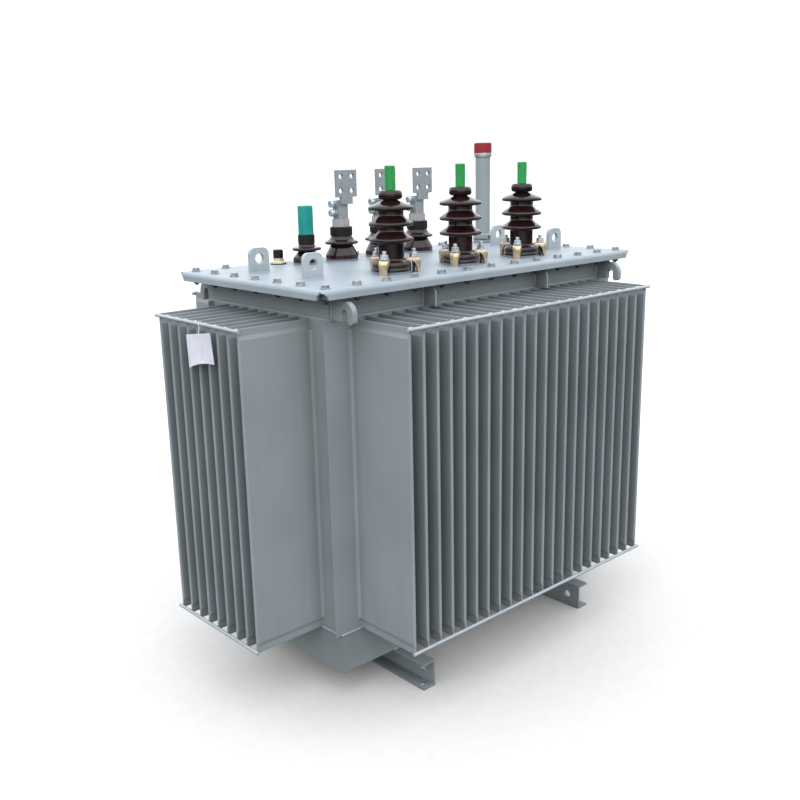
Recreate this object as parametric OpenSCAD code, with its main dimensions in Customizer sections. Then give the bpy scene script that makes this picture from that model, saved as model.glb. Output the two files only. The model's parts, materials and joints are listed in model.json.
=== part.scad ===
// Oil-immersed power transformer with corrugated fin walls.
// Millimetres, +Z up. Origin at the floor, under the middle of the tank.
// +X runs along the long side, -Y is the high-voltage side.

/* [Tank] */
// Outside length of the base pan and of the rim band
tank_l = 1202; // [1000:1:1500]
// Outside width of the base pan and of the rim band
tank_w = 568; // [480:1:760]
// Thickness of the base pan and of the rim band
plate_t = 6; // [4:0.5:10]
// Height of the base pan that shows below the fin walls
pan_show = 123; // [90:1:180]
// Height of the fin walls
wall_h = 922; // [760:1:1100]
// Height of the rim band that shows above the fin walls
rim_show = 64; // [50:1:90]
// How far the fin walls lap over the pan and the rim band
wall_lap = 22; // [12:1:40]
// How far the long walls stand past the short walls at the corners
corner_margin = 20; // [12:1:45]

/* [Fins] */
// Distance from fin to fin
fin_pitch = 50; // [42:0.5:52]
// Least distance from the end fin to the edge of its wall
fin_margin = 70; // [60:1:80]
// Least distance from the end fin to the edge of the right wall
far_margin = 120; // [110:1:130]
// How far a fin stands out from the wall
fin_depth = 232; // [160:1:280]
// Thickness over a folded fin
fin_t = 10; // [8:0.5:14]
// Thickness of the folded sheet
sheet_t = 2; // [1.5:0.1:3]
// Radius of the fold where a fin leaves the wall
root_r = 9; // [4:0.5:12]
// Height of the flat seam at each end of a fin
seam_h = 19; // [17:1:40]
// Height of the slope between the seam and the full fin
taper_h = 11; // [8:1:20]
// Thickness of the flat seam
seam_t = 4; // [3:0.2:5]
// How far the seam flares out to the tie rod
seam_flare = 4; // [2:0.5:8]
// Space left above and below the fins on the wall sheet
seam_inset = 3; // [2:0.5:8]
// Diameter of the tie rods
rod_d = 10; // [6:0.5:14]
// How far a tie rod stands past the last fin
rod_over = 9; // [4:0.5:14]

/* [Skids] */
// Height of the skid channels
skid_h = 85; // [70:1:120]
// Width of the skid flanges
skid_flange = 47; // [40:1:60]
// Thickness of the skid channels
skid_t = 6; // [5:0.5:8]
// Length of the skid channels
skid_l = 828; // [700:1:900]
// Distance between the backs of the two skid webs
skid_gauge = 702; // [550:1:820]
// Diameter of the hauling hole in the skid web
haul_d = 24; // [16:1:30]
// Distance of the hauling hole from the skid end
haul_in = 48; // [36:1:70]
// Diameter of the anchor hole in the lower skid flange
anchor_d = 20; // [12:1:22]
// Distance of the anchor hole from the skid end
anchor_in = 27; // [20:1:34]

/* [Rim] */
// Thickness of the bolted rim flange
flange_t = 12; // [8:0.5:16]
// Thickness of the lid gasket
gasket_t = 6; // [3:0.5:8]
// Distance of the bolt line from the rim band
bolt_out = 34.5; // [30:0.5:45]
// Distance between two cover bolts, as near as the bolt line allows
bolt_pitch = 106; // [90:1:120]
// Diameter of the holes for the cover bolts
bolt_d = 14; // [11:0.5:17]
// Distance of the bolt line from the edge of the rim flange
flange_edge = 15; // [14:0.5:18]
// Distance of the rim gussets from the middle of the tank
gusset_x = 250; // [240:1:260]
// Thickness of a gusset
gusset_t = 6; // [4:0.5:10]
// Radius of the rounded outer corner of a gusset
gusset_r = 30; // [15:1:32]

/* [Tank hooks] */
// Distance of the hooks from the end of the tank
hook_in = 16; // [12:0.5:24]
// Thickness of a hook plate
hook_t = 16; // [12:0.5:22]
// Width of the hook stem on the rim band
hook_stem = 43; // [30:1:48]
// Width of the hook throat
hook_throat = 25; // [20:1:36]
// Width of the hook tip
hook_tip = 22; // [16:1:26]
// Depth of the straight part of the throat
hook_drop = 26; // [20:0.5:30]
// How far the hook tip hangs below the top of the fin walls
hook_dip = 6; // [2:0.5:10]

/* [Lid] */
// Thickness of the lid plate
lid_t = 8; // [6:0.5:10]
// Distance of the bolt line from the end of the lid
lid_end = 40; // [30:0.5:46]
// Distance of the bolt line from the side of the lid
lid_edge = 33; // [28:0.5:38]
// Height of the bent lip of the lid
lip_h = 26; // [20:0.5:30]
// Outside radius of the lip bend
bend_r = 12; // [11:0.5:14]
// Radius of the relief at each lid corner
notch_r = 24; // [18:0.5:26]
// Distance of the relief below the top of the lid
notch_top = 6; // [4:0.25:7]
// How far the corner of the lid stands back from the long lip's line
tip_in = 3; // [2:0.5:6]
// Distance of the lifting lugs from the end of the lid
lug_in = 143.5; // [110:0.5:170]
// Distance of the lifting lugs from the side of the lid
lug_side = 220.5; // [195:0.5:240]
// Width of a lifting lug
lug_w = 67; // [58:1:90]
// Height of a lifting lug
lug_h = 74; // [66:1:100]
// Thickness of a lifting lug
lug_t = 12; // [8:0.5:16]
// Radius of the top corners of a lifting lug
lug_r = 20; // [12:1:30]
// Diameter of the hole in a lifting lug
lug_hole = 30; // [20:0.5:34]
// Height of the lug hole above the lid
lug_hole_z = 42; // [38:0.5:50]

/* [High-voltage bushings] */
// Distance between the high-voltage bushings
hv_pitch = 288; // [240:1:335]
// Distance of the high-voltage row from the side of the lid
hv_side = 161.5; // [150:0.5:186]
// Diameter of the sheds
hv_shed_d = 130; // [110:1:140]
// Diameter of the trunk
hv_trunk_d = 74; // [60:1:80]
// Diameter of the foot
hv_foot_d = 114; // [104:1:122]
// Height of the top of the foot above the lid
hv_foot_h = 36; // [28:0.5:40]
// Thickness of the ring gasket under a bushing
ring_t = 6; // [4:0.5:8]
// Height of the lowest shed above the lid
hv_shed_z = 95; // [86:0.5:104]
// Distance from shed to shed
hv_shed_step = 45; // [42:0.5:52]
// Number of sheds
hv_sheds = 3; // [2:1:3]
// Height of the slope on top of a shed
hv_rise = 21; // [16:0.5:22]
// Height of the neck between the top shed and the knob
hv_neck_h = 23; // [22:0.5:32]
// Diameter of the knob under the terminal
hv_knob_d = 69; // [60:1:74]
// Height of the knob
hv_knob_h = 27; // [22:0.5:30]
// Diameter of the neck under the knob
hv_neck_d = 50; // [40:1:54]
// Diameter of the terminal cap
hv_cap_d = 30; // [24:0.5:36]
// Height of the terminal cap
hv_cap_h = 68; // [50:1:90]
// Radius of the circle of clamp studs
claw_r = 72; // [70:0.5:78]
// Width of a clamp claw
claw_w = 24; // [18:0.5:28]
// Thickness of a clamp claw
claw_t = 8; // [5:0.5:9]
// Outside radius of the bend of a clamp claw
claw_bend = 13; // [11:0.5:16]
// Diameter of the hole for the clamp stud
stud_d = 11; // [9:0.5:13]

/* [Low-voltage bushings] */
// Distance between the low-voltage bushings
lv_pitch = 172; // [150:1:190]
// How far the middle low-voltage bushing sits off the middle of the lid
lv_shift = 22; // [0:1:30]
// Distance of the low-voltage row from the side of the lid
lv_side = 143.5; // [130:0.5:170]
// Diameter of the foot
lv_foot_d = 106; // [96:1:114]
// Diameter of the shed
lv_shed_d = 109; // [96:1:114]
// Diameter of the body under the collar
lv_body_d = 68; // [60:1:72]
// Height of the shed rim above the lid
lv_shed_z = 58; // [52:0.5:66]
// Height of the top of the porcelain above the lid
lv_top_z = 81.5; // [78:0.5:90]
// Diameter of the sealing collar
lv_collar_d = 73; // [69:1:80]
// Height of the sealing collar
lv_collar_h = 27.5; // [24:0.5:34]
// Distance across the flats of the terminal nut
lv_nut_af = 53; // [46:1:58]
// Height of the terminal nut
lv_nut_h = 24; // [18:0.5:28]
// Width of the clamp block
block_w = 38; // [34:1:46]
// Depth of the clamp block
block_d = 31; // [28:1:40]
// Height of the clamp block
block_h = 61; // [54:1:70]
// Width of the flag plate
flag_w = 85; // [78:1:100]
// Height of the flag plate
flag_h = 85.5; // [78:0.5:92]
// Thickness of the flag plate
flag_t = 8; // [6:0.5:12]
// Width of the tongue under the flag plate
tongue_w = 49; // [40:1:60]
// Height of the tongue between the block top and the flag plate
tongue_h = 9.5; // [8:0.5:16]
// Length of the tongue on the face of the block
tongue_lap = 13; // [10:0.5:24]
// Distance between the holes of the flag plate
flag_pitch = 46; // [40:0.5:52]
// Diameter of the holes of the flag plate
flag_hole = 17; // [13:0.5:18]
// How far the flag plate sits off the middle of the block
flag_shift = 10; // [0:0.5:12]

/* [Neutral bushing] */
// Distance of the neutral bushing from the nearest phase
neutral_step = 144; // [130:1:160]
// Diameter of the foot of the neutral bushing
neutral_foot_d = 88; // [80:1:96]
// Diameter of the shed of the neutral bushing
neutral_shed_d = 92; // [82:1:98]
// Diameter of the body of the neutral bushing
neutral_body_d = 50; // [44:1:54]
// Height of the shed rim of the neutral bushing
neutral_shed_z = 48; // [42:0.5:54]
// Height of the porcelain of the neutral bushing
neutral_top_z = 64.5; // [62:0.5:70]
// Diameter of the collar of the neutral bushing
neutral_collar_d = 53; // [52:0.5:60]
// Height of the collar of the neutral bushing
neutral_collar_h = 29; // [24:0.5:34]
// Diameter of the cap of the neutral bushing
neutral_cap_d = 48; // [40:0.5:50]
// Height of the cap of the neutral bushing
neutral_cap_h = 90; // [70:1:110]

/* [Fittings] */
// Distance of the filler pipe from the end of the lid
pipe_in = 82; // [76:0.5:106]
// Distance of the filler pipe from the side of the lid
pipe_side = 89; // [80:0.5:116]
// Diameter of the filler pipe
pipe_d = 55; // [44:1:60]
// Height of the filler pipe above the lid
pipe_h = 322; // [240:1:360]
// Diameter of the foot of the filler pipe
pipe_foot_d = 72; // [64:1:84]
// Height of the foot of the filler pipe
pipe_foot_h = 36; // [24:1:40]
// Diameter of the cap of the filler pipe
pipe_cap_d = 66; // [62:1:74]
// Height of the cap of the filler pipe
pipe_cap_h = 37; // [28:1:44]
// Height of the bright ring under the cap
pipe_ring_h = 13; // [8:0.5:16]
// Distance of the vent plug from the middle, along the lid
plug_x = 356; // [330:1:390]
// Distance of the vent plug from the side of the lid
plug_side = 72.5; // [70:0.5:100]
// Diameter of the foot of the vent plug
plug_foot_d = 48; // [40:1:54]
// Height of the foot of the vent plug
plug_foot_h = 20; // [14:0.5:24]
// Diameter of the cap of the vent plug
plug_cap_d = 32; // [26:1:36]
// Height of the cap of the vent plug
plug_cap_h = 26; // [18:0.5:30]

/* [Fits] */
// Gap left where a curved face sits beside another piece
fit_gap = 0.3; // [0.2:0.05:0.5]

/* [Hidden] */
$fn = 48;
cut = 1;
pan_z0 = skid_h;
wall_z0 = pan_z0 + pan_show;
wall_z1 = wall_z0 + wall_h;
flange_z0 = wall_z1 + rim_show;
gasket_z0 = flange_z0 + flange_t;
lid_z0 = gasket_z0 + gasket_t;
lid_z1 = lid_z0 + lid_t;
lip_z = lid_z1 - lip_h;
fin_z0 = wall_z0 + seam_inset;
fin_z1 = wall_z1 - seam_inset;
fold_z0 = fin_z0 + seam_h + taper_h;
fold_z1 = fin_z1 - seam_h - taper_h;
fin_reach = sheet_t + fin_depth;
rod_y = fin_reach + seam_flare;
long_fins = floor((tank_l - 2 * fin_margin) / fin_pitch) + 1;
short_fins = floor((tank_w - 2 * fin_margin) / fin_pitch) + 1;
far_fins = floor((tank_w - 2 * far_margin) / fin_pitch) + 1;
bolt_x = tank_l / 2 + bolt_out;
bolt_y = tank_w / 2 + bolt_out;
long_bolts = round(2 * bolt_x / bolt_pitch);
short_bolts = round(2 * bolt_y / bolt_pitch);
long_step = 2 * bolt_x / long_bolts;
short_step = 2 * bolt_y / short_bolts;
lid_x = bolt_x + lid_end;
lid_y = bolt_y + lid_edge;
flange_x = bolt_x + flange_edge;
flange_y = bolt_y + flange_edge;
flange_out = bolt_out + flange_edge;
hook_x = tank_l / 2 - hook_in;
lug_x = lid_x - lug_in;
lug_y = lid_y - lug_side;
hv_y = lid_y - hv_side;
lv_y = lid_y - lv_side;
hook_axis = hook_stem + hook_throat / 2;
hook_reach = hook_throat / 2 + hook_tip;
hook_z = wall_z1 + hook_drop - hook_dip;
hv_top_shed = hv_shed_z + (hv_sheds - 1) * hv_shed_step;
hv_knob_z = hv_top_shed + hv_neck_h;
hv_top_z = hv_knob_z + hv_knob_h;
lv_collar_z = lv_top_z;
lv_nut_z = lv_collar_z + lv_collar_h;
block_z = lv_nut_z + lv_nut_h;
flag_z = block_z + block_h + tongue_h;
flag_mid = flag_z + flag_h / 2;
neutral_x = lv_shift - lv_pitch - neutral_step;
pipe_x = lid_x - pipe_in;
pipe_y = lid_y - pipe_side;
plug_y = lid_y - plug_side;
rim_r = 4;
shed_r = 5;
seam_step = 0.5;
flare_h = 14;
edge_r = 3;
round_r = 5;
toe_gap = 4;
stub_foot_h = 13;
stub_step = 2;
stub_waist = 3;
stub_neck = 9;
ring_step = 1;
plug_step = 2;

// Base pan: an open box of plate, closed below by its own floor
module base_pan() {
  color("slategray")
  translate([0, 0, pan_z0])
  difference() {
    translate([-tank_l / 2, -tank_w / 2, 0])
      cube([tank_l, tank_w, pan_show + wall_lap]);
    translate([-tank_l / 2 + plate_t, -tank_w / 2 + plate_t, plate_t])
      cube([tank_l - 2 * plate_t, tank_w - 2 * plate_t, pan_show + wall_lap]);
  }
}

// Skid channel lying along Y: web at the inboard side, flanges outward
module skid() {
  difference() {
    translate([0, skid_l / 2, 0])
      rotate([90, 0, 0])
      linear_extrude(skid_l)
      difference() {
        square([skid_flange, skid_h]);
        translate([skid_t, skid_t])
          square([skid_flange, skid_h - 2 * skid_t]);
      }
    for (s = [-1, 1]) {
      translate([-cut, s * (skid_l / 2 - haul_in), skid_h / 2])
        rotate([0, 90, 0])
        cylinder(d = haul_d, h = skid_t + 2 * cut);
      translate([(skid_flange + skid_t) / 2, s * (skid_l / 2 - anchor_in), -cut])
        cylinder(d = anchor_d, h = skid_t + 2 * cut);
    }
  }
}

module left_skid() {
  color("slategray")
  translate([-skid_gauge / 2, 0, 0])
    rotate([0, 0, 180])
    skid();
}

module right_skid() {
  color("slategray")
  translate([skid_gauge / 2, 0, 0])
    skid();
}

// Plan of one folded fin, with the rounded folds at its root
module fin_plan() {
  translate([-fin_t / 2, -fin_reach + fin_t / 2])
    square([fin_t, fin_reach - fin_t / 2]);
  translate([0, -fin_reach + fin_t / 2])
    circle(d = fin_t);
  difference() {
    translate([-fin_t / 2 - root_r, -sheet_t - root_r])
      square([fin_t + 2 * root_r, root_r + sheet_t]);
    for (s = [-1, 1])
      translate([s * (fin_t / 2 + root_r), -sheet_t - root_r])
        circle(r = root_r);
  }
}

// The oil space inside one folded fin, open to the tank
module fin_space() {
  space = fin_t - 2 * sheet_t;
  translate([-space / 2, -fin_reach + fin_t / 2])
    square([space, fin_reach]);
  translate([0, -fin_reach + fin_t / 2])
    circle(d = space);
}

// Slope of a fin end, from the full fold down to the pressed seam
module fin_slope() {
  polygon([
    [-fin_t / 2, 0],
    [fin_t / 2, 0],
    [seam_t / 2, taper_h],
    [-seam_t / 2, taper_h]
  ]);
}

// Pressed seam of a fin end, flaring out to the tie rod
module fin_seam() {
  rotate([90, 0, 90])
  translate([0, 0, -seam_t / 2])
  linear_extrude(seam_t)
  polygon([
    [0, 0],
    [-fin_reach + seam_step, 0],
    [-fin_reach + seam_step, seam_h - flare_h],
    [-fin_reach - seam_step, seam_h - rod_d],
    [-rod_y, seam_h - rod_d / 2],
    [-rod_y, seam_h],
    [0, seam_h]
  ]);
}

// Upper ends of all fins of one wall, standing on the fold at z = 0
module fin_ends(count) {
  intersection() {
    rotate([90, 0, 0])
    linear_extrude(fin_reach)
    for (i = [0 : count - 1])
      translate([(i - (count - 1) / 2) * fin_pitch, 0])
        fin_slope();
    linear_extrude(taper_h)
    for (i = [0 : count - 1])
      translate([(i - (count - 1) / 2) * fin_pitch, 0]) {
        translate([-fin_t / 2, -fin_reach + fin_t / 2])
          square([fin_t, fin_reach - fin_t / 2]);
        translate([0, -fin_reach + fin_t / 2])
          circle(d = fin_t);
      }
  }
  for (i = [0 : count - 1])
    translate([(i - (count - 1) / 2) * fin_pitch, 0, taper_h])
      fin_seam();
}

// Fin wall facing -Y: one folded sheet with flat margins all round
module fin_wall(count, half) {
  difference() {
    union() {
      translate([0, 0, fold_z0])
        linear_extrude(fold_z1 - fold_z0)
        difference() {
          union() {
            translate([-half, -sheet_t])
              square([2 * half, sheet_t]);
            for (i = [0 : count - 1])
              translate([(i - (count - 1) / 2) * fin_pitch, 0])
                fin_plan();
          }
          for (i = [0 : count - 1])
            translate([(i - (count - 1) / 2) * fin_pitch, 0])
              fin_space();
        }
      translate([-half, -sheet_t, wall_z0])
        cube([2 * half, sheet_t, fold_z0 - wall_z0]);
      translate([-half, -sheet_t, fold_z1])
        cube([2 * half, sheet_t, wall_z1 - fold_z1]);
      translate([0, 0, fold_z1])
        fin_ends(count);
      translate([0, 0, fold_z0])
        mirror([0, 0, 1])
        fin_ends(count);
    }
    tie_rods(count, rod_d / 2 + fit_gap, cut);
  }
}

// Pair of tie rods across the outer corners of the fins
module tie_rods(count, radius, extra) {
  length = (count - 1) * fin_pitch + seam_t + 2 * rod_over + 2 * extra;
  for (z = [fin_z0 + rod_d / 2, fin_z1 - rod_d / 2])
    translate([-length / 2, -rod_y, z])
      rotate([0, 90, 0])
      cylinder(r = radius, h = length);
}

module front_fin_wall() {
  color("lightsteelblue")
  translate([0, -tank_w / 2, 0])
    fin_wall(long_fins, tank_l / 2 + corner_margin);
}

module back_fin_wall() {
  color("lightsteelblue")
  rotate([0, 0, 180])
    translate([0, -tank_w / 2, 0])
    fin_wall(long_fins, tank_l / 2 + corner_margin);
}

module left_fin_wall() {
  color("lightsteelblue")
  translate([-tank_l / 2, 0, 0])
    rotate([0, 0, -90])
    fin_wall(short_fins, tank_w / 2);
}

module right_fin_wall() {
  color("lightsteelblue")
  translate([tank_l / 2, 0, 0])
    rotate([0, 0, 90])
    fin_wall(far_fins, tank_w / 2);
}

module front_tie_rods() {
  color("silver")
  translate([0, -tank_w / 2, 0])
    tie_rods(long_fins, rod_d / 2, 0);
}

module back_tie_rods() {
  color("silver")
  rotate([0, 0, 180])
    translate([0, -tank_w / 2, 0])
    tie_rods(long_fins, rod_d / 2, 0);
}

module left_tie_rods() {
  color("silver")
  translate([-tank_l / 2, 0, 0])
    rotate([0, 0, -90])
    tie_rods(short_fins, rod_d / 2, 0);
}

module right_tie_rods() {
  color("silver")
  translate([tank_l / 2, 0, 0])
    rotate([0, 0, 90])
    tie_rods(far_fins, rod_d / 2, 0);
}

// Rim band: the plate frame that closes the tank above the fin walls
module tank_rim() {
  height = rim_show + wall_lap;
  color("slategray")
  translate([0, 0, wall_z1 - wall_lap])
  difference() {
    translate([-tank_l / 2, -tank_w / 2, 0])
      cube([tank_l, tank_w, height]);
    translate([-tank_l / 2 + plate_t, -tank_w / 2 + plate_t, -cut])
      cube([tank_l - 2 * plate_t, tank_w - 2 * plate_t, height + 2 * cut]);
  }
}

// Holes for the cover bolts, all round the bolt line
module bolt_holes(z, h) {
  for (i = [0 : long_bolts])
    for (s = [-1, 1])
      translate([-bolt_x + i * long_step, s * bolt_y, z])
        cylinder(d = bolt_d, h = h);
  for (j = [1 : short_bolts - 1])
    for (s = [-1, 1])
      translate([s * bolt_x, -bolt_y + j * short_step, z])
        cylinder(d = bolt_d, h = h);
}

// Flat frame lying on the rim band, its corners rounded about the corner bolts
module rim_frame(h) {
  difference() {
    linear_extrude(h)
    difference() {
      union() {
        square([2 * bolt_x, 2 * flange_y], center = true);
        square([2 * flange_x, 2 * bolt_y], center = true);
        for (sx = [-1, 1])
          for (sy = [-1, 1])
            translate([sx * bolt_x, sy * bolt_y])
              circle(r = flange_edge);
      }
      square([tank_l - 2 * plate_t, tank_w - 2 * plate_t], center = true);
    }
    bolt_holes(-cut, h + 2 * cut);
  }
}

module rim_flange() {
  color("slategray")
  translate([0, 0, flange_z0])
    rim_frame(flange_t);
}

module lid_gasket() {
  color("dimgray")
  translate([0, 0, gasket_z0])
    rim_frame(gasket_t);
}

// Gusset plate between the rim band and the flange, outer corner rounded
module gusset() {
  rotate([90, 0, 90])
  translate([0, 0, -gusset_t / 2])
  linear_extrude(gusset_t)
  difference() {
    translate([-flange_out, wall_z1])
      square([flange_out, rim_show]);
    difference() {
      translate([-flange_out - cut, flange_z0 - gusset_r])
        square([gusset_r + cut, gusset_r + cut]);
      translate([-flange_out + gusset_r, flange_z0 - gusset_r])
        circle(r = gusset_r);
    }
  }
}

module rim_gussets() {
  color("slategray")
  for (a = [0, 180])
    for (s = [-1, 1])
      rotate([0, 0, a])
        translate([s * gusset_x, -tank_w / 2, 0])
        gusset();
}

// Hook plate standing out from the rim band, its tip bent down
module hook() {
  straight = hook_drop - hook_tip / 2;
  rotate([90, 0, 90])
  translate([0, 0, -hook_t / 2])
  linear_extrude(hook_t) {
    translate([-hook_stem, wall_z1])
      square([hook_stem, rim_show]);
    translate([-hook_axis, hook_z])
      difference() {
        circle(r = hook_reach);
        circle(d = hook_throat);
        translate([-2 * hook_reach, -2 * hook_reach])
          square([4 * hook_reach, 2 * hook_reach]);
      }
    translate([-hook_axis - hook_reach, hook_z - straight])
      square([hook_tip, straight]);
    translate([-hook_axis - hook_reach + hook_tip / 2, hook_z - straight])
      circle(d = hook_tip);
  }
}

module front_hooks() {
  color("slategray")
  for (s = [-1, 1])
    translate([s * hook_x, -tank_w / 2, 0])
      hook();
}

module back_hooks() {
  color("slategray")
  rotate([0, 0, 180])
  for (s = [-1, 1])
    translate([s * hook_x, -tank_w / 2, 0])
      hook();
}

// Upright rectangle with its two upper corners rounded
module arch(half, z0, z1, r) {
  translate([-half, z0])
    square([2 * half, z1 - z0 - r]);
  translate([-half + r, z0])
    square([2 * half - 2 * r, z1 - z0]);
  for (s = [-1, 1])
    translate([s * (half - r), z1 - r])
      circle(r = r);
}

// Section of the bent lip: quarter bend and straight leg, outer face at x = 0
module lip_section() {
  difference() {
    union() {
      translate([-bend_r, lip_z])
        square([bend_r, lip_h - bend_r]);
      intersection() {
        translate([-bend_r, lid_z1 - bend_r])
          circle(r = bend_r);
        translate([-bend_r, lid_z1 - bend_r])
          square([bend_r, bend_r]);
      }
    }
    translate([-bend_r - cut, lip_z - cut])
      square([bend_r - lid_t + cut, lip_h - bend_r + cut]);
    translate([-bend_r, lid_z1 - bend_r])
      circle(r = bend_r - lid_t);
  }
}

// One lip along X on the -Y side, its ends relieved in an arc
module lip(reach, half, corner) {
  difference() {
    translate([-half, -reach, 0])
      rotate([90, 0, 90])
      linear_extrude(2 * half)
      mirror([1, 0])
      lip_section();
    for (s = [-1, 1])
      translate([s * corner, -reach - cut, lid_z1 - notch_top - notch_r])
        rotate([-90, 0, 0])
        cylinder(r = notch_r, h = bend_r + 2 * cut);
  }
}

// Lid: a plate with a bent lip on each side and a relief at each corner
module lid() {
  color("lightgray")
  difference() {
    union() {
      translate([-lid_x + bend_r, -lid_y + bend_r, lid_z0])
        cube([2 * (lid_x - bend_r), 2 * (lid_y - bend_r), lid_t]);
      for (a = [0, 180])
        rotate([0, 0, a])
          lip(lid_y, lid_x - tip_in, lid_x);
      for (a = [90, 270])
        rotate([0, 0, a])
          lip(lid_x, lid_y - bend_r, lid_y);
    }
    bolt_holes(lid_z0 - cut, lid_t + 2 * cut);
  }
}

// Lifting lug: plate along X with rounded top corners and one hole
module lug(sx, sy) {
  color("lightgray")
  translate([sx * lug_x, sy * lug_y + lug_t / 2, lid_z1])
    rotate([90, 0, 0])
    linear_extrude(lug_t)
    difference() {
      arch(lug_w / 2, 0, lug_h, lug_r);
      translate([0, lug_hole_z])
        circle(d = lug_hole);
    }
}

module lug_back_left() {
  lug(-1, 1);
}

module lug_front_left() {
  lug(-1, -1);
}

module lug_front_right() {
  lug(1, -1);
}

module lug_back_right() {
  lug(1, 1);
}

// Position of high-voltage bushing number n on the lid
module hv_place(n) {
  translate([(n - 2) * hv_pitch, -hv_y, lid_z1])
    children();
}

// Half section of one shed, its rim rounded
module shed(body_d, shed_d, z, rise) {
  polygon([
    [0, z - shed_r],
    [shed_d / 2 - shed_r, z - shed_r],
    [shed_d / 2 - shed_r, z + shed_r],
    [body_d / 2 + rise / 3, z + rise / 2],
    [body_d / 2, z + rise],
    [0, z + rise]
  ]);
  translate([shed_d / 2 - shed_r, z])
    circle(r = shed_r);
}

// High-voltage porcelain: foot, trunk with sheds, neck and knob
module hv_porcelain() {
  knob_r = hv_knob_h / 3;
  color("saddlebrown")
  rotate_extrude() {
    translate([0, ring_t])
      square([hv_foot_d / 2 - rim_r, hv_foot_h - ring_t]);
    translate([0, ring_t])
      square([hv_foot_d / 2, hv_foot_h - ring_t - rim_r]);
    translate([hv_foot_d / 2 - rim_r, hv_foot_h - rim_r])
      circle(r = rim_r);
    translate([0, ring_t])
      square([hv_trunk_d / 2, hv_top_shed - ring_t]);
    for (i = [0 : hv_sheds - 2])
      shed(hv_trunk_d, hv_shed_d, hv_shed_z + i * hv_shed_step, hv_rise);
    shed(hv_neck_d, hv_shed_d, hv_top_shed, hv_rise);
    translate([0, hv_top_shed])
      square([hv_neck_d / 2, hv_knob_z - hv_top_shed + cut]);
    translate([0, hv_knob_z])
      square([hv_knob_d / 2 - knob_r, hv_knob_h]);
    translate([0, hv_knob_z + knob_r])
      square([hv_knob_d / 2, hv_knob_h - 2 * knob_r]);
    for (z = [hv_knob_z + knob_r, hv_top_z - knob_r])
      translate([hv_knob_d / 2 - knob_r, z])
        circle(r = knob_r);
  }
}

module hv_bushing_1() {
  hv_place(1) hv_porcelain();
}

module hv_bushing_2() {
  hv_place(2) hv_porcelain();
}

module hv_bushing_3() {
  hv_place(3) hv_porcelain();
}

module hv_gaskets() {
  color("gray")
  for (n = [1 : 3])
    hv_place(n)
      cylinder(d = hv_foot_d, h = ring_t);
}

// Terminal cap with a rounded top edge
module cap(d, z, h, r) {
  translate([0, 0, z])
  rotate_extrude() {
    square([d / 2, h - r]);
    square([d / 2 - r, h]);
    translate([d / 2 - r, h - r])
      circle(r = r);
  }
}

module hv_caps() {
  color("limegreen")
  for (n = [1 : 3])
    hv_place(n)
      cap(hv_cap_d, hv_top_z, hv_cap_h, edge_r);
}

// Clamp claw: a bent strap from the lid over the edge of the foot
module claw() {
  leg = claw_r + stud_d / 2 + claw_t;
  toe = hv_trunk_d / 2 + toe_gap;
  top = hv_foot_h + claw_t;
  rotate([90, 0, 0])
  translate([0, 0, -claw_w / 2])
  linear_extrude(claw_w) {
    translate([toe, hv_foot_h])
      square([leg - claw_bend - toe, claw_t]);
    translate([leg - claw_t, 0])
      square([claw_t, top - claw_bend]);
    intersection() {
      translate([leg - claw_bend, top - claw_bend])
        difference() {
          circle(r = claw_bend);
          circle(r = claw_bend - claw_t);
        }
      translate([leg - claw_bend, top - claw_bend])
        square([claw_bend, claw_bend]);
    }
  }
}

module hv_clamps() {
  color("goldenrod")
  for (n = [1 : 3])
    hv_place(n)
    for (a = [90 : 120 : 330])
      rotate([0, 0, a])
      difference() {
        claw();
        translate([claw_r - claw_bend / 2, 0, hv_foot_h - cut])
          cylinder(d = stud_d, h = claw_t + 2 * cut);
      }
}

// Position of low-voltage bushing number n on the lid
module lv_place(n) {
  translate([lv_shift + (n - 2) * lv_pitch, lv_y, lid_z1])
    children();
}

// Low-voltage porcelain: foot, cone, one shed and the seat of the collar
module stub_porcelain(foot_d, shed_d, body_d, shed_z, top_z) {
  foot_z = ring_t + stub_foot_h;
  color("saddlebrown")
  rotate_extrude() {
    translate([0, ring_t])
      square([foot_d / 2, foot_z - ring_t]);
    polygon([
      [0, foot_z],
      [foot_d / 2, foot_z],
      [foot_d / 2 - stub_step, foot_z + rim_r],
      [body_d / 2 + stub_waist, shed_z - stub_neck],
      [body_d / 2, shed_z],
      [body_d / 2, top_z],
      [0, top_z]
    ]);
    shed(body_d - stub_step, shed_d, shed_z, top_z - shed_z - stub_step);
  }
}

module lv_bushing_1() {
  lv_place(1) stub_porcelain(lv_foot_d, lv_shed_d, lv_body_d, lv_shed_z, lv_top_z);
}

module lv_bushing_2() {
  lv_place(2) stub_porcelain(lv_foot_d, lv_shed_d, lv_body_d, lv_shed_z, lv_top_z);
}

module lv_bushing_3() {
  lv_place(3) stub_porcelain(lv_foot_d, lv_shed_d, lv_body_d, lv_shed_z, lv_top_z);
}

module lv_gaskets() {
  color("gray")
  union() {
    for (n = [1 : 3])
      lv_place(n)
        cylinder(d = lv_foot_d, h = ring_t);
    translate([neutral_x, lv_y, lid_z1])
      cylinder(d = neutral_foot_d, h = ring_t);
  }
}

module lv_collars() {
  color("black")
  for (n = [1 : 3])
    lv_place(n)
      cap(lv_collar_d, lv_collar_z, lv_collar_h, rim_r);
}

module lv_nuts() {
  color("silver")
  for (n = [1 : 3])
    lv_place(n)
      translate([0, 0, lv_nut_z])
      cylinder(d = lv_nut_af / cos(30), h = lv_nut_h, $fn = 6);
}

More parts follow.
